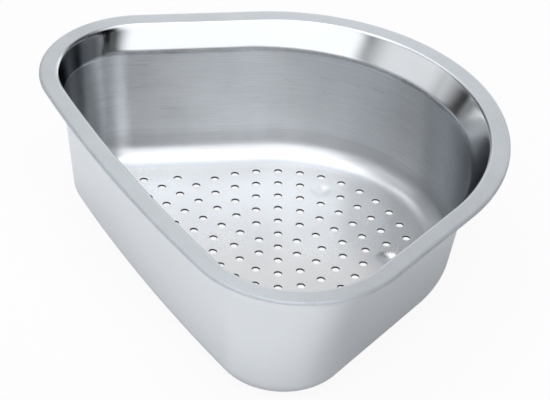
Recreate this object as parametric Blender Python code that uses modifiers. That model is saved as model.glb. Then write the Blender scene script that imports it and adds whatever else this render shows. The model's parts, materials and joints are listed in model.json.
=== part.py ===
"""Corner sink basket strainer, pressed from stainless sheet.

The bowl has a rounded triangular plan: a round nose at +X, a nearly straight
side at -X and a corner at each end of it. Its section runs from a turned-down
lip over a flat flange, down a sloping collar and a steep wall, round the foot
to a flat perforated floor that stands on four pressed feet. Every zone is a
pressing of the same sheet, and each meets the next edge to edge.

The origin is on the surface that the feet stand on, under the middle of the
overall length and width. X is the line of symmetry and Z is up.
"""
import math
from collections import namedtuple

import bmesh
import bpy
from mathutils import Vector

# Sheet and joints
SHEET = 0.0008
JOINT_GAP = 0.0003

# Heights above the surface that the feet stand on
OVERALL_HEIGHT = 0.0815
FOOT_HEIGHT = 0.002

# Rim plan, at the outer face of the lip, measured from the centre of the hole pattern
RIM_NOSE_RADIUS = 0.119
RIM_CORNER_RADIUS = 0.059
RIM_CORNER_BACK = 0.0392
RIM_CORNER_SPREAD = 0.081
RIM_SIDE_RADIUS = 0.95

# Inner plan where the collar meets the wall
THROAT_NOSE_RADIUS = 0.1033
THROAT_NOSE_BACK = 0.0041
THROAT_CORNER_RADIUS = 0.0401
THROAT_CORNER_BACK = 0.0437
THROAT_CORNER_SPREAD = 0.0845
THROAT_SIDE_RADIUS = 1.13

# Inner plan where the wall and the floor would meet in a sharp edge
HEEL_NOSE_RADIUS = 0.0876
HEEL_NOSE_FORWARD = 0.0046
HEEL_CORNER_RADIUS = 0.0342
HEEL_CORNER_BACK = 0.0451
HEEL_CORNER_SPREAD = 0.0792
HEEL_SIDE_RADIUS = 1.12

# Section, from the lip to the floor
LIP_HEIGHT = 0.0014
LIP_BEND = 0.0011
FLANGE_WIDTH = 0.0104
FLANGE_BEND = 0.0020
COLLAR_HEIGHT = 0.0145
COLLAR_BEND = 0.0100
BASE_SKIRT = 0.0035
BASE_BEND = 0.0110
BASE_STRIP = 0.0010

# Hole pattern: ring n has six times n holes, one ring pitch further out each time
RING_PITCH = 0.012
HOLE_DIAMETER = 0.0043
HOLE_TO_BEND = 0.0065

# Pressed feet, each in the place of one hole: ring number and hole number from +X
FOOT_PLACES = ((5, 3), (5, 27), (6, 14), (6, 22))
FOOT_TOP_DIAMETER = 0.0108
FOOT_FACE_DIAMETER = 0.0062

# Facets
NOSE_STEPS = 24
CORNER_STEPS = 14
FLANK_STEPS = 3
SIDE_STEPS = 8
LIP_BEND_STEPS = 3
SMALL_BEND_STEPS = 3
BASE_BEND_STEPS = 6
HOLE_SIDES = 10
FOOT_SIDES = 20
FOOT_STEPS = 4

Plan = namedtuple("Plan", "nose_x nose_radius corner_x corner_y corner_radius side_radius")

RIM = Plan(0.0, RIM_NOSE_RADIUS, -RIM_CORNER_BACK, RIM_CORNER_SPREAD,
           RIM_CORNER_RADIUS, RIM_SIDE_RADIUS)
THROAT = Plan(-THROAT_NOSE_BACK, THROAT_NOSE_RADIUS, -THROAT_CORNER_BACK,
              THROAT_CORNER_SPREAD, THROAT_CORNER_RADIUS, THROAT_SIDE_RADIUS)
HEEL = Plan(HEEL_NOSE_FORWARD, HEEL_NOSE_RADIUS, -HEEL_CORNER_BACK,
            HEEL_CORNER_SPREAD, HEEL_CORNER_RADIUS, HEEL_SIDE_RADIUS)

FLOOR_TOP = FOOT_HEIGHT + SHEET


def clear_scene():
    for obj in list(bpy.data.objects):
        bpy.data.objects.remove(obj, do_unlink=True)


def side_centre_x(plan):
    """Centre of the long shallow arc that touches both corner arcs from outside."""
    reach = plan.side_radius - plan.corner_radius
    return plan.corner_x + math.sqrt(reach ** 2 - plan.corner_y ** 2)


def hole_centre_x():
    """Place of the hole pattern's centre, with the rim's length centred on the origin."""
    rearmost = side_centre_x(RIM) - RIM.side_radius
    foremost = RIM.nose_x + RIM.nose_radius
    return -(rearmost + foremost) / 2


def arc(centre_x, centre_y, radius, start, end, steps):
    """Points along an arc, both ends included."""
    points = []
    for step in range(steps + 1):
        angle = start + (end - start) * step / steps
        points.append((centre_x + radius * math.cos(angle),
                       centre_y + radius * math.sin(angle)))
    return points


def outline(plan, inset, height):
    """Closed ring round a plan, counterclockwise, drawn in by inset.

    The nose arc and each corner arc share a straight tangent, the flank. The
    corner arcs run into the shallow arc of the side at its tangent points.
    """
    nose_radius = plan.nose_radius - inset
    corner_radius = plan.corner_radius - inset
    across = Vector((plan.nose_x - plan.corner_x, -plan.corner_y))
    lean = math.acos((corner_radius - nose_radius) / across.length)
    flank_angle = math.atan2(across.y, across.x) + lean
    centre_x = side_centre_x(plan)
    side_angle = math.atan2(plan.corner_y, plan.corner_x - centre_x)
    full_turn = 2 * math.pi
    nose = arc(plan.nose_x, 0, nose_radius, -flank_angle, flank_angle, NOSE_STEPS)
    left = arc(plan.corner_x, plan.corner_y, corner_radius, flank_angle, side_angle, CORNER_STEPS)
    side = arc(centre_x, 0, plan.side_radius - inset, side_angle,
               full_turn - side_angle, SIDE_STEPS)
    right = arc(plan.corner_x, -plan.corner_y, corner_radius, full_turn - side_angle,
                full_turn - flank_angle, CORNER_STEPS)
    ring = nose + flank(nose[-1], left[0]) + left + side[1:-1] + right + flank(right[-1], nose[0])
    shift = hole_centre_x()
    return [Vector((x + shift, y, height)) for x, y in ring]


def flank(start, end):
    """Points between two ends of a straight flank, ends left out."""
    points = []
    for step in range(1, FLANK_STEPS):
        share = step / FLANK_STEPS
        points.append((start[0] + (end[0] - start[0]) * share,
                       start[1] + (end[1] - start[1]) * share))
    return points


def toward(start, end, distance):
    """Point at a distance from start on the way to end."""
    return start + (end - start).normalized() * distance


def bend(before, corner, after, radius, steps):
    """Arc of a radius that rounds a corner of the section."""
    back = (before - corner).normalized()
    ahead = (after - corner).normalized()
    half_angle = back.angle(ahead) / 2
    reach = radius / math.tan(half_angle)
    centre = corner + (back + ahead).normalized() * radius / math.sin(half_angle)
    first = corner + back * reach - centre
    last = corner + ahead * reach - centre
    turn = first.angle(last)
    points = []
    for step in range(steps + 1):
        angle = turn * step / steps
        weight = math.sin(turn - angle) / math.sin(turn), math.sin(angle) / math.sin(turn)
        points.append(centre + first * weight[0] + last * weight[1])
    return points


def section(lip, edge, brink, throat, heel, floor):
    """Rows of each pressing at one place round the bowl, on the sheet's upper face."""
    lip_bend = bend(lip, edge, brink, LIP_BEND, LIP_BEND_STEPS)
    flange_bend = bend(edge, brink, throat, FLANGE_BEND, SMALL_BEND_STEPS)
    collar_bend = bend(brink, throat, heel, COLLAR_BEND, SMALL_BEND_STEPS)
    base_bend = bend(throat, heel, floor, BASE_BEND, BASE_BEND_STEPS)
    skirt_top = toward(base_bend[0], throat, BASE_SKIRT)
    strip_end = toward(base_bend[-1], floor, BASE_STRIP)
    return {
        "rim_flange": [lip] + lip_bend + [toward(flange_bend[0], edge, JOINT_GAP)],
        "rim_collar": flange_bend + collar_bend,
        "wall_band": [toward(collar_bend[-1], heel, JOINT_GAP),
                      toward(skirt_top, throat, JOINT_GAP)],
        "base_ring": [skirt_top] + base_bend + [strip_end],
        "floor_edge": [toward(strip_end, floor, JOINT_GAP)],
    }


def bowl_sections():
    """The section at every point of the plan, as grids of rows for each pressing."""
    corners = zip(
        outline(RIM, 0, OVERALL_HEIGHT - LIP_HEIGHT),
        outline(RIM, 0, OVERALL_HEIGHT),
        outline(RIM, FLANGE_WIDTH, OVERALL_HEIGHT),
        outline(THROAT, 0, OVERALL_HEIGHT - COLLAR_HEIGHT),
        outline(HEEL, 0, FLOOR_TOP),
        outline(HEEL, BASE_BEND + BASE_STRIP + JOINT_GAP + HOLE_TO_BEND, FLOOR_TOP),
    )
    return [section(*places) for places in corners]


def steel(name, colour, roughness):
    material = bpy.data.materials.new(name)
    material.use_nodes = True
    shader = material.node_tree.nodes["Principled BSDF"]
    shader.inputs["Base Color"].default_value = (*colour, 1)
    shader.inputs["Metallic"].default_value = 1
    shader.inputs["Roughness"].default_value = roughness
    return material


def finish_sheet(bm, name, material, collection):
    """Turn an open surface into a piece of sheet that lies under and outside it."""
    mesh = bpy.data.meshes.new(name)
    bm.to_mesh(mesh)
    bm.free()
    mesh.materials.append(material)
    mesh.shade_smooth()
    mesh.set_sharp_from_angle(angle=math.radians(35))
    piece = bpy.data.objects.new(name, mesh)
    collection.objects.link(piece)
    thicken = piece.modifiers.new("Sheet", "SOLIDIFY")
    thicken.thickness = SHEET
    thicken.offset = -1
    thicken.use_even_offset = True
    return piece


def pressed_band(name, sections, material, collection):
    """Loft one pressing's rows round the whole plan."""
    bm = bmesh.new()
    columns = [[bm.verts.new(point) for point in places[name]] for places in sections]
    for here, ahead in zip(columns, columns[1:] + columns[:1]):
        for row in range(len(here) - 1):
            bm.faces.new((here[row], ahead[row], ahead[row + 1], here[row + 1]))
    bmesh.ops.recalc_face_normals(bm, faces=bm.faces)
    bm.normal_update()
    highest = max(bm.faces, key=lambda face: abs(face.normal.z))
    if highest.normal.z < 0:
        bmesh.ops.reverse_faces(bm, faces=bm.faces)
    return finish_sheet(bm, name, material, collection)


def add_loop(bm, points):
    """Closed loop of edges through points."""
    verts = [bm.verts.new(point) for point in points]
    return [bm.edges.new(pair) for pair in zip(verts, verts[1:] + verts[:1])]


def circle(centre, radius, sides):
    return [centre + Vector((radius * math.cos(2 * math.pi * side / sides),
                             radius * math.sin(2 * math.pi * side / sides), 0))
            for side in range(sides)]


def ring_place(ring, number):
    """Centre of a hole on the floor: its ring and its number round it from +X."""
    angle = 0 if ring == 0 else 2 * math.pi * number / (6 * ring)
    return Vector((hole_centre_x() + ring * RING_PITCH * math.cos(angle),
                   ring * RING_PITCH * math.sin(angle), FLOOR_TOP))


def edge_distance(point, ring):
    """Distance inside a convex ring, negative outside it."""
    nearest = math.inf
    for start, end in zip(ring, ring[1:] + ring[:1]):
        along = (end - start).normalized()
        offset = point - start
        nearest = min(nearest, along.x * offset.y - along.y * offset.x)
    return nearest


def hole_places(flat_edge):
    """Every hole of the ring pattern that keeps its distance from the bend."""
    places = []
    ring = 0
    found = True
    while found:
        found = False
        for number in range(max(1, 6 * ring)):
            centre = ring_place(ring, number)
            if edge_distance(centre, flat_edge) < HOLE_TO_BEND:
                continue
            found = True
            if (ring, number) not in FOOT_PLACES:
                places.append(centre)
        ring += 1
    return places


def press_foot(bm, loop, centre):
    """Draw one loop of the floor down into a foot with a flat face."""
    top = FOOT_TOP_DIAMETER / 2
    face = FOOT_FACE_DIAMETER / 2
    ring = loop
    for step in range(1, FOOT_STEPS + 1):
        share = step / FOOT_STEPS
        radius = top + (face - top) * share
        depth = FOOT_HEIGHT * (1 - math.cos(math.pi * share)) / 2
        drawn = bmesh.ops.extrude_edge_only(bm, edges=ring)["geom"]
        ring = [item for item in drawn if isinstance(item, bmesh.types.BMEdge)]
        for vert in {vert for edge in ring for vert in edge.verts}:
            spoke = Vector((vert.co.x - centre.x, vert.co.y - centre.y, 0)).normalized()
            vert.co = centre + spoke * radius - Vector((0, 0, depth))
    bmesh.ops.contextual_create(bm, geom=ring)


def perforated_floor(sections, material, collection):
    """Flat floor with its rings of holes and its pressed feet."""
    bm = bmesh.new()
    edge = [places["floor_edge"][0] for places in sections]
    flat_edge = [places["base_ring"][-2] for places in sections]
    loops = add_loop(bm, edge)
    for centre in hole_places(flat_edge):
        loops += add_loop(bm, circle(centre, HOLE_DIAMETER / 2, HOLE_SIDES))
    feet = []
    for ring, number in FOOT_PLACES:
        centre = ring_place(ring, number)
        loop = add_loop(bm, circle(centre, FOOT_TOP_DIAMETER / 2, FOOT_SIDES))
        feet.append((loop, centre))
        loops += loop
    bmesh.ops.triangle_fill(bm, edges=loops, use_beauty=True, normal=(0, 0, 1))
    for loop, centre in feet:
        press_foot(bm, loop, centre)
    bmesh.ops.recalc_face_normals(bm, faces=bm.faces)
    bm.normal_update()
    if sum(face.normal.z * face.calc_area() for face in bm.faces) < 0:
        bmesh.ops.reverse_faces(bm, faces=bm.faces)
    return finish_sheet(bm, "perforated_floor", material, collection)


def build():
    clear_scene()
    collection = bpy.data.collections.new("corner_basket_strainer")
    bpy.context.scene.collection.children.link(collection)
    sections = bowl_sections()
    pressed_band("rim_flange", sections, steel("satin_flange", (0.62, 0.65, 0.68), 0.32), collection)
    pressed_band("rim_collar", sections, steel("polished_collar", (0.66, 0.68, 0.70), 0.08), collection)
    pressed_band("wall_band", sections, steel("brushed_wall", (0.52, 0.55, 0.57), 0.30), collection)
    pressed_band("base_ring", sections, steel("polished_base", (0.62, 0.64, 0.66), 0.18), collection)
    perforated_floor(sections, steel("satin_floor", (0.66, 0.68, 0.70), 0.26), collection)


build()
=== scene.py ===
import json
import math

import bmesh
import bpy
import numpy as np
from mathutils import Matrix, Vector

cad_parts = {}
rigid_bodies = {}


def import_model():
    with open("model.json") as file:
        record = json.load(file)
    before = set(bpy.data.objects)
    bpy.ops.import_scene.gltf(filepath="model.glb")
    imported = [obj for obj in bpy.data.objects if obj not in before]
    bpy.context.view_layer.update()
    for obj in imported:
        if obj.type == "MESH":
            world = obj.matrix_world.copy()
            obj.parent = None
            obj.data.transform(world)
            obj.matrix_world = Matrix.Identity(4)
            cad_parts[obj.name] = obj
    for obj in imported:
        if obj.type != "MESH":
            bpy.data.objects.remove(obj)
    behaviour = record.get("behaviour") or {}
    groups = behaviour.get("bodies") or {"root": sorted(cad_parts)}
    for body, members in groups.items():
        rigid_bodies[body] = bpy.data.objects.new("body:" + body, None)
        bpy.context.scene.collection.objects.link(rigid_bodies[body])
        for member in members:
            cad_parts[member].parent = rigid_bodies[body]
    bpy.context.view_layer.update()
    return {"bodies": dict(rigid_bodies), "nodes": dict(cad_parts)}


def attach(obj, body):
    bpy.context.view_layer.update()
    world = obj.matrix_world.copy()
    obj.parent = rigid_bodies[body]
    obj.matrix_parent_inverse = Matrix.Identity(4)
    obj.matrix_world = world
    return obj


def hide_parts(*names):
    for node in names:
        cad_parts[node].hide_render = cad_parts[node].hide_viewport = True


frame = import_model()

bodyName = list(frame["bodies"])[0]
print("frame loaded:", ", ".join(sorted(frame["nodes"])))


# The bowl's form, shared by every pressing, in metres. A plan is nose radius, nose x, corner
# radius, corner x, corner y and side radius, measured from the middle hole of the floor.
bowl = {
    "height": 0.0815,
    "footDrop": 0.0020,
    "sheet": 0.0008,
    "holePitch": 0.0120,
    "rimPlan": (0.1190, 0.0000, 0.0590, -0.0392, 0.0810, 0.95),
    "throatPlan": (0.1033, -0.0041, 0.0401, -0.0437, 0.0845, 1.13),
    "heelPlan": (0.0876, 0.0046, 0.0342, -0.0451, 0.0792, 1.12),
    "noseSteps": 192,
    "cornerSteps": 112,
    "flankSteps": 16,
    "sideSteps": 64,
}
floorTop = bowl["footDrop"] + bowl["sheet"]


# Centre of the shallow side arc, which touches both corner arcs from outside
def sideCentre(plan):
    noseR, noseX, cornerR, cornerX, cornerY, sideR = plan
    return cornerX + math.sqrt((sideR - cornerR) ** 2 - cornerY ** 2)


# Middle hole's x, so that the rim's length is centred on the origin
def middleHoleX():
    noseR, noseX, sideR = bowl["rimPlan"][0], bowl["rimPlan"][1], bowl["rimPlan"][5]
    return -(sideCentre(bowl["rimPlan"]) - sideR + noseX + noseR) / 2


# Points of an arc: centre plus radius times cosine and sine of evenly spaced angles
def arcPoints(centreX, centreY, radius, start, end, steps):
    angle = np.linspace(start, end, steps + 1)
    return np.stack([centreX + radius * np.cos(angle), centreY + radius * np.sin(angle)], 1)


# One closed ring round the bowl: nose arc, straight flank, corner arc, shallow side arc, corner arc
# and flank, each tangent to the next. The inset shortens every radius by the same length.
def planRing(plan, inset, height):
    noseR, noseX, cornerR, cornerX, cornerY, sideR = plan
    between = np.array([noseX - cornerX, -cornerY])
    lean = math.acos((cornerR - noseR) / np.hypot(*between))
    flankTurn = math.atan2(between[1], between[0]) + lean
    sideX = sideCentre(plan)
    sideTurn = math.atan2(cornerY, cornerX - sideX)
    fullTurn = 2 * math.pi
    nose = arcPoints(noseX, 0, noseR - inset, -flankTurn, flankTurn, bowl["noseSteps"])
    left = arcPoints(cornerX, cornerY, cornerR - inset, flankTurn, sideTurn, bowl["cornerSteps"])
    side = arcPoints(sideX, 0, sideR - inset, sideTurn, fullTurn - sideTurn, bowl["sideSteps"])
    right = arcPoints(cornerX, -cornerY, cornerR - inset, fullTurn - sideTurn,
                      fullTurn - flankTurn, bowl["cornerSteps"])
    share = np.linspace(0, 1, bowl["flankSteps"] + 1)[1:-1, None]
    flankOne = nose[-1] + (left[0] - nose[-1]) * share
    flankTwo = right[-1] + (nose[0] - right[-1]) * share
    flat = np.concatenate([nose, flankOne, left, side[1:-1], right, flankTwo])
    return np.column_stack([flat[:, 0] + middleHoleX(), flat[:, 1], np.full(len(flat), height)])


def unit(vectors):
    return vectors / np.linalg.norm(vectors, axis=-1, keepdims=True)


# Rows that round a fold of the section: an arc of the radius, tangent to both sides of the corner,
# weighted between its two ends by the sines of the angle left and the angle gone
def foldRows(before, corner, after, radius, steps):
    back, ahead = unit(before - corner), unit(after - corner)
    half = np.arccos(np.clip((back * ahead).sum(1), -1, 1))[:, None] / 2
    reach = radius / np.tan(half)
    centre = corner + unit(back + ahead) * radius / np.sin(half)
    first = corner + back * reach - centre
    last = corner + ahead * reach - centre
    turn = (math.pi - 2 * half)[:, None]
    share = np.linspace(0, 1, steps + 1)[None, :, None]
    weightFirst = np.sin((1 - share) * turn) / np.sin(turn)
    weightLast = np.sin(share * turn) / np.sin(turn)
    return centre[:, None] + first[:, None] * weightFirst + last[:, None] * weightLast


# Rows on the straight between two rings, ends left out
def straightRows(start, end, steps):
    share = np.linspace(0, 1, steps + 1)[None, 1:-1, None]
    return start[:, None] + (end - start)[:, None] * share


# Ring at a distance from one ring on the way to another
def onTheWay(start, end, distance):
    return start + unit(end - start) * distance


# The section from the lip down, in metres, with the steps across each part of it
sectionShape = {
    "lipHeight": 0.0014, "lipFold": 0.0011, "lipFoldSteps": 8,
    "flangeWidth": 0.0104, "flangeSteps": 6, "flangeFold": 0.0020, "flangeFoldSteps": 10,
    "collarHeight": 0.0145, "collarSteps": 6, "collarFold": 0.0100, "collarFoldSteps": 12,
    "wallSteps": 16,
    "skirt": 0.0035, "skirtSteps": 4,  # straight part of the base ring, above its bend
    "baseFold": 0.0110, "baseFoldSteps": 24,
    "strip": 0.0010,  # flat part of the base ring, past its bend
    "floorReach": 0.0080,  # only sets which way the flat goes on from the bend
}


# The sheet's upper face as a grid, ring by ring from the lip's cut edge to the floor, with the ring
# numbers where each pressing starts and ends; neighbours share the ring they meet at
def wholeSection():
    shape, top = sectionShape, bowl["height"]
    lip = planRing(bowl["rimPlan"], 0, top - shape["lipHeight"])
    edge = planRing(bowl["rimPlan"], 0, top)
    brink = planRing(bowl["rimPlan"], shape["flangeWidth"], top)
    throat = planRing(bowl["throatPlan"], 0, top - shape["collarHeight"])
    heel = planRing(bowl["heelPlan"], 0, floorTop)
    inward = planRing(bowl["heelPlan"], shape["baseFold"] + shape["floorReach"], floorTop)
    lipFold = foldRows(lip, edge, brink, shape["lipFold"], shape["lipFoldSteps"])
    flangeFold = foldRows(edge, brink, throat, shape["flangeFold"], shape["flangeFoldSteps"])
    collarFold = foldRows(brink, throat, heel, shape["collarFold"], shape["collarFoldSteps"])
    baseFold = foldRows(throat, heel, inward, shape["baseFold"], shape["baseFoldSteps"])
    skirtTop = onTheWay(baseFold[:, 0], throat, shape["skirt"])
    stripEnd = onTheWay(baseFold[:, -1], inward, shape["strip"])
    blocks = [lip[:, None], lipFold,
              straightRows(lipFold[:, -1], flangeFold[:, 0], shape["flangeSteps"]), flangeFold,
              straightRows(flangeFold[:, -1], collarFold[:, 0], shape["collarSteps"]), collarFold,
              straightRows(collarFold[:, -1], skirtTop, shape["wallSteps"]), skirtTop[:, None],
              straightRows(skirtTop, baseFold[:, 0], shape["skirtSteps"]), baseFold,
              stripEnd[:, None]]
    starts = np.cumsum([0] + [block.shape[1] for block in blocks])
    ends = {
        "rim_flange": (0, starts[3] + 1),
        "rim_collar": (starts[3], starts[6]),
        "wall_band": (starts[6] - 1, starts[8]),
        "base_ring": (starts[7], starts[11]),
    }
    return np.concatenate(blocks, 1), ends


section, pressingEnds = wholeSection()


# Normals of the grid: the direction round the bowl crossed with the direction down the section
def gridNormals(grid):
    roundAbout = np.roll(grid, -1, 0) - np.roll(grid, 1, 0)
    down = np.gradient(grid, axis=1)
    return unit(np.cross(roundAbout, down))


sectionNormals = gridNormals(section)
print("section worked out:", section.shape[0], "columns by", section.shape[1], "rows")


sharpAngle = math.radians(35)  # where faces turn by more than this, their edge is drawn sharp


# Puts arrays of corners and faces into a new piece
def pieceFrom(name, corners, faces, material):
    mesh = bpy.data.meshes.new(name)
    mesh.from_pydata(corners, [], faces)
    mesh.materials.append(material)
    mesh.shade_smooth()
    mesh.set_sharp_from_angle(angle=sharpAngle)
    mesh.update()
    piece = bpy.data.objects.new(name, mesh)
    bpy.context.scene.collection.objects.link(piece)
    return piece


# Lets the piece stand for its CAD node: joins it to the body and hides the node
def standFor(piece, node):
    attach(piece, bodyName)
    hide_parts(node)


# Stores one value for each point of a piece
def markPoints(piece, name, values):
    stored = piece.data.attributes.new(name, "FLOAT", "POINT")
    stored.data.foreach_set("value", values.ravel().astype(np.float32))


# Where shade is painted into the inner side's colour, in metres. A band of painted shade runs along
# the foot of the wall: the heights are where it starts, is full, starts to end and is gone. A patch
# of painted shade lies round a spot in each corner: the reaches are the distances up to which it is
# full and past which it is gone.
paintedShadeSet = {
    "footHeights": (0.0090, 0.0125, 0.0145, 0.0205), "footShare": 0.38,
    "spotX": -0.0813, "spotY": 0.1135, "cornerShare": 0.75,
    "wallReach": (0.0185, 0.0275), "collarReach": (0.030, 0.041),
}


# Shares of painted shade on a grid, the larger one of the band's and the patch's
def paintedShadeShares(grid, near, far):
    foot = np.interp(grid[..., 2], paintedShadeSet["footHeights"], (0, 1, 1, 0)) * paintedShadeSet["footShare"]
    away = np.hypot(grid[..., 0] - paintedShadeSet["spotX"], np.abs(grid[..., 1]) - paintedShadeSet["spotY"])
    patch = np.clip((far - away) / (far - near), 0, 1)
    return np.maximum(foot, patch * patch * (3 - 2 * patch) * paintedShadeSet["cornerShare"])


# Points that round the cut edge between the two faces, along half an ellipse
def roundedCut(upper, normal, thickness, edgeRows=6):
    middle = upper[:, :1] - normal[:, :1] * thickness / 2
    outward = unit(upper[:, :1] - upper[:, 1:2])
    swing = np.linspace(0, math.pi, edgeRows + 2)[None, 1:-1, None]
    edge = middle - normal[:, :1] * np.cos(swing) * thickness / 2
    return edge + outward * np.sin(swing) * thickness / 4


# A band of sheet: the rows of one pressing on the upper face, then back along the lower face, which
# lies one thickness along the normals. The loop of rows is closed, and so is the turn of columns.
# The map is the length round the bowl and the length down the section, in metres, and the grain
# attribute wraps the same two lengths on a cylinder, so that a pattern has no seam. The outside
# attribute is one on the lower face, which is the bowl's outer side, and the brushed attribute is
# one there too. On the upper face brushed is one for three quarters of the falling rows and drops
# to nothing by their end, and rises to one over the last rows. One more attribute holds the share
# of painted shade on the upper face, which darkens its colour.
def sheetBand(name, node, material, roundedEdge=False, fallingRows=0, risingRows=0,
              paintedShadeReach=paintedShadeSet["wallReach"]):
    first, last = pressingEnds[node]
    upper, normal = section[:, first:last], sectionNormals[:, first:last]
    thickness = bowl["sheet"]
    blocks = [upper, (upper - normal * thickness)[:, ::-1]]
    if roundedEdge:
        blocks.append(roundedCut(upper, normal, thickness))
    grid = np.concatenate(blocks, 1)
    columns, rows = grid.shape[:2]
    here = np.arange(columns)[:, None] * rows + np.arange(rows)[None]
    ahead = np.roll(here, -1, 0)
    faces = np.stack([here, ahead, np.roll(ahead, -1, 1), np.roll(here, -1, 1)], -1)
    piece = pieceFrom(name, grid.reshape(-1, 3), faces.reshape(-1, 4).tolist(), material)

    steps = np.linalg.norm(np.roll(upper[:, 0], -1, 0) - upper[:, 0], axis=1)
    around = np.concatenate([[0], np.cumsum(steps)])
    down = np.linalg.norm(np.diff(section[0], axis=0), axis=1)
    down = np.concatenate([[0], np.cumsum(down)])[first:last]
    across = np.concatenate([down, down[::-1] + thickness, np.full(rows - 2 * len(down), down[0])])
    columnOf = np.arange(columns)[:, None, None] + np.array([0, 1, 1, 0])
    rowOf = (np.arange(rows)[None, :, None] + np.array([0, 0, 1, 1])) % rows
    flatMap = np.stack(np.broadcast_arrays(around[columnOf], across[rowOf]), -1)
    layer = piece.data.uv_layers.new(name="lengths")
    layer.data.foreach_set("uv", flatMap.ravel().astype(np.float32))
    turnRadius = around[-1] / (2 * math.pi)
    turn = around[:-1] / turnRadius
    grain = np.stack(np.broadcast_arrays(turnRadius * np.cos(turn)[:, None],
                                         turnRadius * np.sin(turn)[:, None],
                                         across[None]), -1)
    stored = piece.data.attributes.new("grain", "FLOAT_VECTOR", "POINT")
    stored.data.foreach_set("vector", grain.ravel().astype(np.float32))
    upperRows = upper.shape[1]
    brushed = np.ones(rows)
    brushed[:upperRows] = 0
    markPoints(piece, "outside", np.broadcast_to(brushed, (columns, rows)))
    brushed[:fallingRows] = np.clip(np.linspace(4, 0, fallingRows), 0, 1)
    brushed[upperRows - risingRows:upperRows] = np.linspace(0, 1, risingRows)
    markPoints(piece, "brushed", np.broadcast_to(brushed, (columns, rows)))
    # Share of painted shade: darker at the foot of the wall and in the inner corners, upper face
    # only
    paintedShade = paintedShadeShares(grid, *paintedShadeReach)
    paintedShade[:, upperRows:] = 0
    markPoints(piece, "paintedShade", paintedShade)
    return piece


# Every finish starts from a principled shader with the look's lighter tone and roughness
def newFinish(name, look):
    material = bpy.data.materials.new(name)
    material.use_nodes = True
    shader = material.node_tree.nodes["Principled BSDF"]
    shader.inputs["Base Color"].default_value = (*look["light"], 1)
    shader.inputs["Metallic"].default_value = 1
    shader.inputs["Roughness"].default_value = look["roughness"]
    return material, material.node_tree, shader


def addNode(tree, kind, place, **values):
    node = tree.nodes.new(kind)
    node.location = place
    for key, value in values.items():
        if key in node.inputs:
            node.inputs[key].default_value = value
        else:
            setattr(node, key, value)
    return node


def mathNode(tree, place, operation, *values):
    node = addNode(tree, "ShaderNodeMath", place, operation=operation)
    for socket, value in zip(node.inputs, values):
        if isinstance(value, (int, float)):
            socket.default_value = value
        else:
            tree.links.new(value, socket)
    return node.outputs["Value"]


# Noise read along a source, stretched by the three scales of a mapping
def stretchedNoise(tree, place, source, scales, detail, rough=0.55):
    x, y = place
    mapping = addNode(tree, "ShaderNodeMapping", (x, y), Scale=scales)
    noise = addNode(tree, "ShaderNodeTexNoise", (x + 180, y), Scale=1.0, Detail=detail,
                    Roughness=rough)
    tree.links.new(source, mapping.inputs["Vector"])
    tree.links.new(mapping.outputs["Vector"], noise.inputs["Vector"])
    return noise.outputs["Fac"]


# A value carried from one range to another, and held at its ends
def ranged(tree, place, value, low, high, fromLow, fromHigh, course="LINEAR"):
    node = addNode(tree, "ShaderNodeMapRange", place, interpolation_type=course)
    for key, number in (("From Min", fromLow), ("From Max", fromHigh),
                        ("To Min", low), ("To Max", high)):
        node.inputs[key].default_value = number
    tree.links.new(value, node.inputs["Value"])
    return node.outputs["Result"]


# Colour between two tones by a factor
def toneBetween(tree, place, factor, dark, light):
    node = addNode(tree, "ShaderNodeMix", place, data_type="RGBA")
    node.inputs[6].default_value = (*dark, 1)
    node.inputs[7].default_value = (*light, 1)
    tree.links.new(factor, node.inputs[0])
    return node.outputs[2]


# Colour laid over another one by a factor
def overlaid(tree, place, below, factor, colour):
    node = addNode(tree, "ShaderNodeMix", place, data_type="RGBA")
    node.inputs[7].default_value = (*colour, 1)
    tree.links.new(factor, node.inputs[0])
    tree.links.new(below, node.inputs[6])
    return node.outputs[2]


# Sum of two values, the second one weighted
def added(tree, place, one, other, weight):
    return mathNode(tree, place, "MULTIPLY_ADD", other, weight, one)


def bumpFrom(tree, place, height, strength, distance):
    node = addNode(tree, "ShaderNodeBump", place, Strength=strength, Distance=distance)
    tree.links.new(height, node.inputs["Height"])
    return node.outputs["Normal"]


# Steel between the look's dark and light tone, as a pattern goes through the tone range
def steelBy(tree, place, pattern, look):
    x, y = place
    return toneBetween(tree, place, ranged(tree, (x - 200, y), pattern, 0, 1, *look["toneRange"]),
                       look["dark"], look["light"])


# The look's roughness with its spread, as a pattern goes through the rough range
def roughBy(tree, place, pattern, look):
    atLow, atHigh = look["roughSpread"]
    return ranged(tree, place, pattern, look["roughness"] + atLow, look["roughness"] + atHigh,
                  *look["roughRange"])


# Brushing runs along the turn of the bowl
def alongLengths(tree, place, shader):
    along = addNode(tree, "ShaderNodeTangent", place, direction_type="UV_MAP", uv_map="lengths")
    tree.links.new(along.outputs["Tangent"], shader.inputs["Tangent"])
    shader.inputs["Anisotropic Rotation"].default_value = 0.25  # a quarter of a turn


# A value that a piece stores for each point
def markOf(tree, place, name):
    return addNode(tree, "ShaderNodeAttribute", place, attribute_name=name).outputs["Fac"]


# The inner side reflects less where it is seen nearly edge on, as by the tint given
def dimAtGrazing(tree, place, shader, tint):
    x, y = place
    tree.links.new(toneBetween(tree, place, markOf(tree, (x - 180, y), "outside"), (tint,) * 3,
                               (1, 1, 1)), shader.inputs["Specular Tint"])


def grainOf(tree, place):
    return addNode(tree, "ShaderNodeAttribute", place, attribute_name="grain").outputs["Vector"]


def objectPlace(tree, place):
    return addNode(tree, "ShaderNodeTexCoord", place).outputs["Object"]


# Rim flange: flat satin band with its turned-down lip. A bump is its strength and its height.
flangeLook = {
    "light": (0.705, 0.744, 0.791), "dark": (0.634, 0.671, 0.711), "toneRange": (0.5, 1.0),
    "roughness": 0.32, "roughSpread": (0.05, -0.04), "roughRange": (0.5, 1.0),
    "grain": (900, 900, 2600), "cloud": 70, "cloudShare": 0.5, "bump": (0.12, 0.00002),
    "anisotropic": 0.5,
    "lipRoughness": 0.45,  # added on the turned-down lip
}


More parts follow.
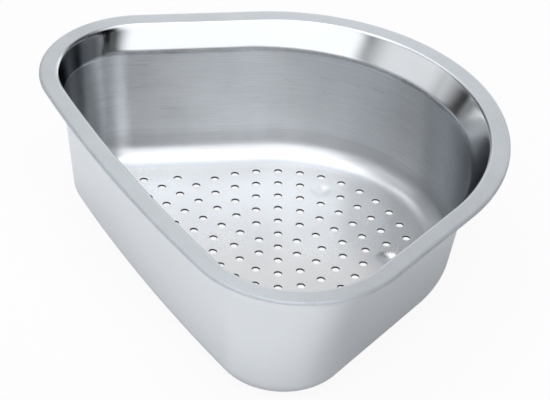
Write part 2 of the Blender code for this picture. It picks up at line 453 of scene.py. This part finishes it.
def satinFlangeFinish():
    look = flangeLook
    material, tree, shader = newFinish("satinFlange", look)
    grain = grainOf(tree, (-1300, 0))
    fine = stretchedNoise(tree, (-1100, 200), grain, look["grain"], detail=2.0)
    cloud = stretchedNoise(tree, (-1100, -100), grain, (look["cloud"],) * 3, detail=2.0)
    both = added(tree, (-700, 100), fine, cloud, look["cloudShare"])
    tree.links.new(steelBy(tree, (-300, 250), both, look), shader.inputs["Base Color"])
    rough = roughBy(tree, (-500, 0), both, look)
    tree.links.new(added(tree, (-300, 0), rough, markOf(tree, (-500, -150), "brushed"),
                         look["lipRoughness"]), shader.inputs["Roughness"])
    tree.links.new(bumpFrom(tree, (-300, -250), fine, *look["bump"]), shader.inputs["Normal"])
    shader.inputs["Anisotropic"].default_value = look["anisotropic"]
    alongLengths(tree, (-300, -450), shader)
    return material


flange = sheetBand("rimFlange", "rim_flange", satinFlangeFinish(), roundedEdge=True,
                   fallingRows=sectionShape["lipFoldSteps"] + 2)
standFor(flange, "rim_flange")
print("rim flange made")


# Rim collar: mirror band between the flange and the wall, brushed on its outer side
collarLook = {
    "light": (0.632, 0.657, 0.681), "dark": (0.597, 0.619, 0.644), "toneRange": (0.3, 0.7),
    "roughness": 0.12, "roughSpread": (-0.03, 0.04), "roughRange": (0.5, 0.9),
    "smear": (25, 25, 60), "scratch": (60, 60, 3500), "scratchShare": 0.4,
    "bump": (0.04, 0.000008), "anisotropic": 0.0, "grazing": 0.3,
    # colour of the painted shade in the inner corners
    "paintedShade": (0.075, 0.078, 0.080),
    "outer": (0.812, 0.848, 0.890), "outerRoughness": 0.2, "outerAnisotropic": 0.75,
}


def polishedCollarFinish():
    look = collarLook
    material, tree, shader = newFinish("polishedCollar", look)
    grain = grainOf(tree, (-1300, 0))
    smear = stretchedNoise(tree, (-1100, 200), grain, look["smear"], detail=3.0)
    scratch = stretchedNoise(tree, (-1100, -100), grain, look["scratch"], detail=2.0)
    brushed = markOf(tree, (-700, 500), "brushed")
    # The mirror colour goes to the painted shade colour by the stored share
    mirror = overlaid(tree, (-400, 350), steelBy(tree, (-500, 250), smear, look),
                      markOf(tree, (-500, 500), "paintedShade"), look["paintedShade"])
    tree.links.new(overlaid(tree, (-300, 250), mirror, brushed, look["outer"]),
                   shader.inputs["Base Color"])
    rough = roughBy(tree, (-500, 0), added(tree, (-700, 0), smear, scratch, look["scratchShare"]),
                    look)
    tree.links.new(added(tree, (-300, 0), rough, brushed, look["outerRoughness"]),
                   shader.inputs["Roughness"])
    tree.links.new(bumpFrom(tree, (-300, -250), scratch, *look["bump"]), shader.inputs["Normal"])
    tree.links.new(ranged(tree, (-300, -100), brushed, look["anisotropic"],
                          look["outerAnisotropic"], 0, 1), shader.inputs["Anisotropic"])
    dimAtGrazing(tree, (-300, -350), shader, look["grazing"])
    alongLengths(tree, (-300, -550), shader)
    return material


collar = sheetBand("rimCollar", "rim_collar", polishedCollarFinish(),
                   fallingRows=sectionShape["flangeFoldSteps"] + 1,
                   risingRows=sectionShape["collarFoldSteps"] + 1,
                   paintedShadeReach=paintedShadeSet["collarReach"])
standFor(collar, "rim_collar")
print("rim collar made")


# What the brushed pieces have in common. The lines are a long noise and a share of a fine one.
brushing = {
    "fineShare": 0.6, "toneRange": (0.55, 1.05),
    "middle": 0.8,  # middle value of the lines
    "outsideLines": 0.35,  # share of their way from it that they keep on the outer side
    "cloud": (22, 22, 40), "cloudShare": 0.5,
    "roughSpread": (0.06, -0.05), "roughRange": (0.8, 1.3), "grazing": 0.3,
    # colour of the painted shade along the foot of the wall and in the inner corners
    "paintedShade": (0.30, 0.31, 0.32), "outer": (0.795, 0.830, 0.872),
}


def brushedFinish(name, look):
    material, tree, shader = newFinish(name, look)
    grain = grainOf(tree, (-1500, 0))
    longLine = stretchedNoise(tree, (-1300, 300), grain, look["longLine"], detail=4.0, rough=0.65)
    fineLine = stretchedNoise(tree, (-1300, 0), grain, look["fineLine"], detail=3.0, rough=0.6)
    cloud = stretchedNoise(tree, (-1300, -300), grain, look["cloud"], detail=2.0)
    lines = added(tree, (-1100, 200), longLine, fineLine, look["fineShare"])
    outside = markOf(tree, (-1100, -250), "outside")
    share = ranged(tree, (-900, -250), outside, 1, look["outsideLines"], 0, 1)
    away = mathNode(tree, (-900, 200), "SUBTRACT", lines, look["middle"])
    away = mathNode(tree, (-700, 200), "MULTIPLY", away, share)
    lines = mathNode(tree, (-600, 200), "ADD", away, look["middle"])
    # The steel goes to the painted shade colour by the stored share, then to the outer tone outside
    steel = overlaid(tree, (-400, 300), steelBy(tree, (-500, 500), lines, look),
                     markOf(tree, (-500, 700), "paintedShade"), look["paintedShade"])
    tree.links.new(overlaid(tree, (-300, 300), steel, outside, look["outer"]),
                   shader.inputs["Base Color"])
    worn = added(tree, (-700, 0), lines, cloud, look["cloudShare"])
    tree.links.new(roughBy(tree, (-300, 0), worn, look), shader.inputs["Roughness"])
    tree.links.new(bumpFrom(tree, (-300, -250), lines, *look["bump"]), shader.inputs["Normal"])
    shader.inputs["Anisotropic"].default_value = look["anisotropic"]
    dimAtGrazing(tree, (-300, -450), shader, look["grazing"])
    alongLengths(tree, (-300, -650), shader)
    return material


# Wall band: steep wall, brushed along the turn of the bowl
wallLook = {
    **brushing,
    "light": (0.817, 0.853, 0.895), "dark": (0.676, 0.706, 0.740), "roughness": 0.31,
    "longLine": (14, 14, 1500), "fineLine": (45, 45, 5200), "bump": (0.11, 0.00002),
    "anisotropic": 0.85,
}
wall = sheetBand("wallBand", "wall_band", brushedFinish("brushedWall", wallLook))
standFor(wall, "wall_band")
print("wall band made")


# Base ring: rounded foot of the wall, brushed the same way and buffed a little
baseLook = {
    **brushing,
    "light": (0.861, 0.886, 0.918), "dark": (0.793, 0.819, 0.848), "roughness": 0.36,
    "longLine": (14, 14, 1200), "fineLine": (45, 45, 4000), "bump": (0.06, 0.00002),
    "anisotropic": 0.7,
}
base = sheetBand("baseRing", "base_ring", brushedFinish("buffedBase", baseLook))
standFor(base, "base_ring")
print("base ring made")


# Perforated floor: rings of punched holes and four pressed feet
floorShape = {
    "rings": 11, "holeRadius": 0.00215, "holeRound": 0.00022, "holeSides": 24, "rollSteps": 3,
    "holeKeep": 0.0065,  # least distance of a hole's middle from the edge of the flat
    "holeBrim": 0.0006,  # flat round the hole that is turned with it
    "burr": 0.00025, "burrWidth": 0.0001, "burrFoot": 0.0003,
    "feet": ((5, 3), (5, 27), (6, 14), (6, 22)),  # ring and number of the hole each one replaces
    "footTop": 0.0070, "footFace": 0.0031, "dishFlat": 0.0006, "dishDepth": 0.0011,
    "footSides": 40, "footRows": 12,
    "mergeReach": 0.000002,
}
floorLook = {
    "light": (0.890, 0.896, 0.905), "dark": (0.847, 0.852, 0.861), "toneRange": (0.45, 0.95),
    "roughness": 0.29, "roughSpread": (0.03, -0.03), "roughRange": (0.45, 0.95),
    "fine": 1500, "fineShare": 0.4, "cloud": 30, "bump": (0.03, 0.00001),
    # colour of a sheared hole wall: partly its duller edge, partly painted shade
    "cutAndShade": (0.10, 0.10, 0.11), "cutRoughness": 0.25,  # roughness added on a sheared wall
}


def satinFloorFinish():
    look = floorLook
    material, tree, shader = newFinish("satinFloor", look)
    place = objectPlace(tree, (-1300, 0))
    fine = stretchedNoise(tree, (-1100, 200), place, (look["fine"],) * 3, detail=2.0)
    cloud = stretchedNoise(tree, (-1100, -100), place, (look["cloud"],) * 3, detail=3.0)
    both = added(tree, (-700, 100), cloud, fine, look["fineShare"])
    sheared = markOf(tree, (-700, 500), "sheared")
    # Sheared hole walls take the dark cut colour, partly their duller edge and partly painted shade
    tree.links.new(overlaid(tree, (-300, 250), steelBy(tree, (-500, 250), both, look), sheared,
                            look["cutAndShade"]), shader.inputs["Base Color"])
    tree.links.new(added(tree, (-300, 0), roughBy(tree, (-500, 0), both, look), sheared,
                         look["cutRoughness"]), shader.inputs["Roughness"])
    tree.links.new(bumpFrom(tree, (-300, -250), fine, *look["bump"]), shader.inputs["Normal"])
    return material


# Places of the ring pattern: ring n has six times n holes at n pitches from the middle one. A place
# is kept where its distance inside the flat floor's edge is enough, and the feet's places go apart.
def holePlaces(flatEdge):
    rings = [np.array([[0, 0]])]
    rings += [np.column_stack([np.full(6 * n, n), np.arange(6 * n)])
              for n in range(1, floorShape["rings"] + 1)]
    numbers = np.concatenate(rings)
    angle = 2 * math.pi * numbers[:, 1] / np.maximum(6 * numbers[:, 0], 1)
    reach = numbers[:, 0] * bowl["holePitch"]
    places = np.column_stack([middleHoleX() + reach * np.cos(angle), reach * np.sin(angle)])
    along = unit(np.roll(flatEdge, -1, 0) - flatEdge)
    offset = places[:, None] - flatEdge[None]
    inside = (along[None, :, 0] * offset[..., 1] - along[None, :, 1] * offset[..., 0]).min(1)
    kept = inside >= floorShape["holeKeep"]
    isFoot = (numbers[:, None] == np.array(floorShape["feet"])[None]).all(2).any(1)
    return places[kept & ~isFoot], places[isFoot]


# Corners and faces of one profile of radius and height, turned round many centres at once
def turnedRound(profile, centres, sides, firstIndex):
    angle = np.linspace(0, 2 * math.pi, sides, endpoint=False)
    spoke = np.stack([np.cos(angle), np.sin(angle)], 1)
    flat = centres[:, None, None] + spoke[None, :, None] * profile[None, None, :, :1]
    tall = np.broadcast_to(profile[None, None, :, 1:], flat.shape[:3] + (1,))
    grid = np.concatenate([flat, tall], -1)
    count, rows = len(centres), len(profile)
    here = firstIndex + np.arange(count * sides * rows).reshape(count, sides, rows)
    ahead = np.roll(here, -1, 1)
    faces = np.stack([here[..., :-1], ahead[..., :-1], ahead[..., 1:], here[..., 1:]], -1)
    return grid.reshape(-1, 3), faces.reshape(-1, 4).tolist()


# Section of a punched hole: the sheet rolls in at the top, drops through and breaks out at the back
def holeProfile():
    shape, below = floorShape, floorTop - bowl["sheet"]
    radius, rounded, burr = shape["holeRadius"], shape["holeRound"], shape["burr"]
    turn = np.linspace(0, math.pi / 2, shape["rollSteps"] + 1)
    rollIn = np.column_stack([radius + rounded * (1 - np.sin(turn)),
                              floorTop - rounded * (1 - np.cos(turn))])
    brim = radius + shape["holeBrim"]
    back = np.array([[radius, below - burr], [radius + shape["burrWidth"], below - burr],
                     [radius + shape["burrFoot"], below], [brim, below]])
    return np.concatenate([[[brim, floorTop]], rollIn, back])


# Upper and lower profile of a foot. The top sinks by half a cosine wave to a small flat middle. The
# back sinks by the same wave in less room, to the flat face that the foot stands on.
def footProfiles():
    shape = floorShape
    share = np.linspace(0, 1, shape["footRows"] + 1)
    wave = (1 - np.cos(math.pi * share)) / 2
    inward = shape["footTop"] + (shape["dishFlat"] - shape["footTop"]) * share
    sunk = floorTop - shape["dishDepth"] * wave
    upper = np.column_stack([np.append(inward, 0.0), np.append(sunk, sunk[-1])])
    radius = shape["footTop"] + (shape["footFace"] - shape["footTop"]) * share
    back = floorTop - bowl["sheet"] - bowl["footDrop"] * wave
    lower = np.column_stack([np.append(radius, 0.0), np.append(back, back[-1])])
    return upper, lower[::-1]


# Flat corners and triangles between a closed outer ring and round openings, filled by Blender
def flatFill(loops):
    bm = bmesh.new()
    for loop in loops:
        verts = [bm.verts.new((x, y, 0)) for x, y in loop]
        for pair in zip(verts, verts[1:] + verts[:1]):
            bm.edges.new(pair)
    bmesh.ops.triangle_fill(bm, edges=bm.edges[:], use_beauty=True, normal=(0, 0, 1))
    bm.verts.index_update()
    corners = np.array([vert.co[:2] for vert in bm.verts])
    triangles = np.array([[vert.index for vert in face.verts] for face in bm.faces])
    a, b, c = (corners[triangles[:, k]] for k in range(3))
    turned = (b - a)[:, 0] * (c - a)[:, 1] - (b - a)[:, 1] * (c - a)[:, 0]
    triangles[turned < 0] = triangles[turned < 0][:, ::-1]
    bm.free()
    return corners, triangles


def circle(centre, radius, sides):
    angle = np.linspace(0, 2 * math.pi, sides, endpoint=False)
    return centre + radius * np.column_stack([np.cos(angle), np.sin(angle)])


# The two flat faces with round openings, the edge between them, then a turned section in each
# opening, all merged into one closed sheet
def perforatedFloor():
    shape, floorBack = floorShape, floorTop - bowl["sheet"]
    edge = section[:, -1, :2]
    flatEdge = section[:, -2, :2]
    holes, feet = holePlaces(flatEdge)
    punched = holeProfile()
    footUpper, footLower = footProfiles()
    loops = [edge] + [circle(centre, punched[0, 0], shape["holeSides"]) for centre in holes]
    loops += [circle(centre, shape["footTop"], shape["footSides"]) for centre in feet]
    flat, triangles = flatFill(loops)
    upper = np.column_stack([flat, np.full(len(flat), floorTop)])
    lower = np.column_stack([flat, np.full(len(flat), floorBack)])
    corners, faces = [upper, lower], triangles.tolist()
    faces += (triangles[:, ::-1] + len(flat)).tolist()
    count = 2 * len(flat)
    corners.append(np.concatenate([np.column_stack([edge, np.full(len(edge), z)])
                                   for z in (floorTop, floorBack)]))
    here = count + np.arange(len(edge))
    ahead = np.roll(here, -1)
    faces += np.column_stack([here, here + len(edge), ahead + len(edge), ahead]).tolist()
    count += 2 * len(edge)
    for profile, centres, sides in ((punched, holes, shape["holeSides"]),
                                    (footUpper, feet, shape["footSides"]),
                                    (footLower, feet, shape["footSides"])):
        grid, more = turnedRound(profile, centres, sides, count)
        corners.append(grid)
        faces += more
        count += len(grid)
    piece = pieceFrom("perforatedFloor", np.concatenate(corners), faces, satinFloorFinish())
    bm = bmesh.new()
    bm.from_mesh(piece.data)
    bmesh.ops.remove_doubles(bm, verts=bm.verts, dist=shape["mergeReach"])
    bm.to_mesh(piece.data)
    bm.free()
    piece.data.shade_smooth()
    piece.data.set_sharp_from_angle(angle=sharpAngle)

    # The sheared wall of a hole is marked with one, which fades out over the rolled-in edge. There
    # the floor turns to its dark cut colour, which is partly the duller sheared edge and partly
    # painted shade.
    place = np.empty(3 * len(piece.data.vertices), np.float32)
    piece.data.vertices.foreach_get("co", place)
    away = place.reshape(-1, 1, 3)[..., :2] - holes[None]
    past = np.linalg.norm(away, axis=2).min(1) - shape["holeRadius"]
    markPoints(piece, "sheared", np.clip(1 - past / shape["holeRound"], 0, 1))
    print("floor has", len(holes), "holes and", len(feet), "feet")
    return piece


standFor(perforatedFloor(), "perforated_floor")
print("perforated floor made")


# Camera, where the photograph was taken from
cameraSet = {
    "lens": 146.1, "sensor": 36.0,
    "clockwise": 31.78, "pitchDown": 35.686, "roll": 3.179,  # degrees from looking along +Y
    "distance": 1.2205,  # along the view to the middle hole of the floor
    "holeRight": 0.00166, "holeUp": -0.02558,  # the middle hole in the view, from its centre
    "clip": (0.05, 50),
}


def placeCamera():
    turn, pitch, roll = (math.radians(cameraSet[key]) for key in ("clockwise", "pitchDown", "roll"))
    level = Vector((math.cos(turn), -math.sin(turn), 0))
    ahead = Vector((math.sin(turn), math.cos(turn), 0))
    forward = ahead * math.cos(pitch) - Vector((0, 0, math.sin(pitch)))
    straightUp = ahead * math.sin(pitch) + Vector((0, 0, math.cos(pitch)))
    right = level * math.cos(roll) + straightUp * math.sin(roll)
    up = straightUp * math.cos(roll) - level * math.sin(roll)
    middleHole = Vector((middleHoleX(), 0, floorTop))
    data = bpy.data.cameras.new("photoCamera")
    data.sensor_width, data.lens = cameraSet["sensor"], cameraSet["lens"]
    data.clip_start, data.clip_end = cameraSet["clip"]
    camera = bpy.data.objects.new("photoCamera", data)
    bpy.context.scene.collection.objects.link(camera)
    place = (middleHole - right * cameraSet["holeRight"] - up * cameraSet["holeUp"]
             - forward * cameraSet["distance"])
    turned = Matrix((right, up, -forward)).transposed().to_4x4()
    camera.matrix_world = Matrix.Translation(place) @ turned
    bpy.context.scene.camera = camera


placeCamera()
print("camera placed")


# Floor, background and studio light
stageSet = {
    "floorTone": 0.85, "floorRoughness": 0.9, "floorSize": 12.0,
    "seenWhite": 0.92,  # share of plain white that the camera sees on the floor
    "mirroredWhite": 0.55,  # share of plain white that mirrors and glass see on it
    # The shade beside the bowl is painted into the floor's glow, which only mirrors and glass see
    "shade": 0.59,  # depth of the bowl's shade on the floor, as mirrored in its own wall
    "shadeWay": 145.1, "shadeHalfWidth": 60.8, "shadeSoftness": 28.2,  # degrees, as for the boxes
    "shadeReach": 0.16, "shadeFade": 0.015,
    "contactReach": 0.03,  # how near the bowl darkens the mirrored floor
    "lampPower": 12.7, "lampHeight": 2.2, "lampWidth": 1.99,
}
# Soft boxes and the white sweep behind the bowl, in degrees: direction clockwise from +Y, half its
# width, elevation, half its height, softness of the edge; then the tone
softBoxes = {
    "sweep": (31.1, 9.1, 11.1, 30.3, 25.0, 1.70),
    "frontBox": (211.6, 43.8, 27.4, 15.1, 4.8, 1.61),
    "leftBox": (286.9, 25.3, 23.9, 15.0, 12.9, 1.13),
    "skyBox": (244.0, 59.9, 69.3, 20.9, 2.0, 1.38),
    "rightBox": (145.9, 40.0, 66.2, 12.2, 9.1, 1.32),
    "backBox": (352.6, 28.3, 67.8, 24.1, 5.9, 1.55),
    "lowGlow": (324.7, 160.3, -2.5, 6.3, 4.1, 1.70),
    "sideGlow": (63.3, 10.9, 10.0, 28.4, 2.0, 1.47),
    "backGlow": (319.9, 10.7, 15.7, 4.0, 2.1, 0.34),
    "cornerGlow": (332.7, 5.0, 11.3, 4.0, 2.0, 0.63),
}


# What mirrors and glass see
def mirroredRays(tree, path, place):
    return mathNode(tree, place, "MAXIMUM", path.outputs["Is Glossy Ray"],
                    path.outputs["Is Transmission Ray"])


# One up to a half size and zero past it, faded over the softness on both sides of the edge
def faded(tree, place, value, half, softness):
    return ranged(tree, place, value, 1, 0, half - softness, half + softness, "SMOOTHSTEP")


# Angle between a level direction and the one that a box or a shade is seen in
def aside(tree, place, levelWay, middle):
    x, y = place
    near = addNode(tree, "ShaderNodeVectorMath", (x, y), operation="DOT_PRODUCT")
    near.inputs[1].default_value = (math.sin(middle), math.cos(middle), 0)
    tree.links.new(levelWay, near.inputs[0])
    return mathNode(tree, (x + 180, y), "ARCCOSINE", near.outputs["Value"])


# The floor is plain under the lamps and nearly white for the camera, so that it keeps the shadow of
# the bowl. Mirrors and glass see it lighter too, but for a painted shade beside the bowl and a
# shade from occlusion beneath it.
def makeFloor():
    bpy.ops.mesh.primitive_plane_add(size=stageSet["floorSize"])
    ground = bpy.context.object
    ground.name = "studioFloor"
    material = bpy.data.materials.new("studioFloor")
    material.use_nodes = True
    tree = material.node_tree
    shader = tree.nodes["Principled BSDF"]
    tone = stageSet["floorTone"]
    shader.inputs["Base Color"].default_value = (tone, tone, tone, 1)
    shader.inputs["Roughness"].default_value = stageSet["floorRoughness"]
    path = addNode(tree, "ShaderNodeLightPath", (-1300, 400))
    mirrored = mirroredRays(tree, path, (-1100, 300))
    direct = mathNode(tree, (-1100, 500), "MULTIPLY", path.outputs["Is Camera Ray"],
                      stageSet["seenWhite"])
    place = objectPlace(tree, (-1500, -200))
    reach = addNode(tree, "ShaderNodeVectorMath", (-1300, -400), operation="LENGTH")
    way = addNode(tree, "ShaderNodeVectorMath", (-1300, -200), operation="NORMALIZE")
    for node in (reach, way):
        tree.links.new(place, node.inputs[0])
    # Painted shade beside the bowl, by direction and distance from the middle
    middle, half, softness = (math.radians(stageSet[key])
                              for key in ("shadeWay", "shadeHalfWidth", "shadeSoftness"))
    sideways = faded(tree, (-700, -200), aside(tree, (-1100, -200), way.outputs["Vector"], middle),
                     half, softness)
    nearby = faded(tree, (-700, -400), reach.outputs["Value"], stageSet["shadeReach"],
                   stageSet["shadeFade"])
    beside = mathNode(tree, (-500, -300), "MULTIPLY", sideways, nearby)
    beside = mathNode(tree, (-500, -450), "MULTIPLY", beside, stageSet["shade"])
    openness = addNode(tree, "ShaderNodeAmbientOcclusion", (-700, -600), samples=4,
                       Distance=stageSet["contactReach"])
    beneath = mathNode(tree, (-500, -600), "SUBTRACT", 1.0, openness.outputs["AO"])
    shade = mathNode(tree, (-300, -300), "MULTIPLY", mirrored,
                     mathNode(tree, (-300, -450), "MAXIMUM", beside, beneath))
    glow = addNode(tree, "ShaderNodeEmission", (-100, 0))
    tree.links.new(mathNode(tree, (-300, -100), "SUBTRACT", 1.0, shade), glow.inputs["Strength"])
    mix = addNode(tree, "ShaderNodeMixShader", (100, 200))
    white = mathNode(tree, (-900, 300), "MULTIPLY", mirrored, stageSet["mirroredWhite"])
    tree.links.new(mathNode(tree, (-700, 400), "MAXIMUM", direct, white), mix.inputs[0])
    tree.links.new(shader.outputs["BSDF"], mix.inputs[1])
    tree.links.new(glow.outputs["Emission"], mix.inputs[2])
    tree.links.new(mix.outputs["Shader"], tree.nodes["Material Output"].inputs["Surface"])
    ground.data.materials.append(material)


# One soft box as a mask over directions: the angles from its middle direction and from its
# elevation, each faded over the softness
def boxMask(tree, row, flatWay, elevation, box):
    middle, halfWidth, height, halfHeight, softness = (math.radians(value) for value in box[:5])
    y = -260 * row
    above = mathNode(tree, (-720, y - 120), "ABSOLUTE",
                     mathNode(tree, (-900, y - 120), "SUBTRACT", elevation, height))
    return mathNode(tree, (-360, y), "MULTIPLY",
                    faded(tree, (-540, y), aside(tree, (-900, y), flatWay, middle), halfWidth,
                          softness),
                    faded(tree, (-540, y - 120), above, halfHeight, softness))


# The room is dark, with the soft boxes in it. The camera sees plain white, and so do mirrors and
# glass where the sweep is.
def makeWorld():
    world = bpy.data.worlds.new("studio")
    bpy.context.scene.world = world
    world.use_nodes = True
    tree = world.node_tree
    tree.nodes.clear()
    way = addNode(tree, "ShaderNodeTexCoord", (-1500, 0)).outputs["Generated"]
    tall = addNode(tree, "ShaderNodeSeparateXYZ", (-1300, -200))
    tree.links.new(way, tall.inputs["Vector"])
    elevation = mathNode(tree, (-1100, -200), "ARCSINE", tall.outputs["Z"])
    level = addNode(tree, "ShaderNodeVectorMath", (-1300, 0), operation="MULTIPLY")
    level.inputs[1].default_value = (1, 1, 0)
    tree.links.new(way, level.inputs[0])
    flat = addNode(tree, "ShaderNodeVectorMath", (-1100, 0), operation="NORMALIZE")
    tree.links.new(level.outputs["Vector"], flat.inputs[0])
    light, sweepMask = 0.0, None
    for row, (name, box) in enumerate(softBoxes.items()):
        mask = boxMask(tree, row, flat.outputs["Vector"], elevation, box)
        sweepMask = mask if name == "sweep" else sweepMask
        light = mathNode(tree, (-180, -260 * row), "MULTIPLY_ADD", mask, box[5], light)
    path = addNode(tree, "ShaderNodeLightPath", (-600, 400))
    inMirrors = mathNode(tree, (-200, 400), "MULTIPLY", mirroredRays(tree, path, (-400, 400)),
                         sweepMask)
    seen = mathNode(tree, (0, 400), "MAXIMUM", path.outputs["Is Camera Ray"], inMirrors)
    studio = addNode(tree, "ShaderNodeBackground", (200, 0))
    tree.links.new(light, studio.inputs["Strength"])
    white = addNode(tree, "ShaderNodeBackground", (200, 200), Strength=1.0)
    for background in (studio, white):
        background.inputs["Color"].default_value = (1, 1, 1, 1)
    mix = addNode(tree, "ShaderNodeMixShader", (400, 200))
    output = addNode(tree, "ShaderNodeOutputWorld", (600, 200))
    tree.links.new(seen, mix.inputs[0])
    tree.links.new(studio.outputs["Background"], mix.inputs[1])
    tree.links.new(white.outputs["Background"], mix.inputs[2])
    tree.links.new(mix.outputs["Shader"], output.inputs["Surface"])


def makeLamp():
    data = bpy.data.lights.new("overheadLamp", "AREA")
    data.shape = "DISK"
    data.size, data.energy = stageSet["lampWidth"], stageSet["lampPower"]
    lamp = bpy.data.objects.new("overheadLamp", data)
    bpy.context.scene.collection.objects.link(lamp)
    lamp.location = (0, 0, stageSet["lampHeight"])
    lamp.visible_camera = False


makeFloor()
makeWorld()
makeLamp()
bpy.context.scene.view_settings.view_transform = "Standard"
print("studio set")
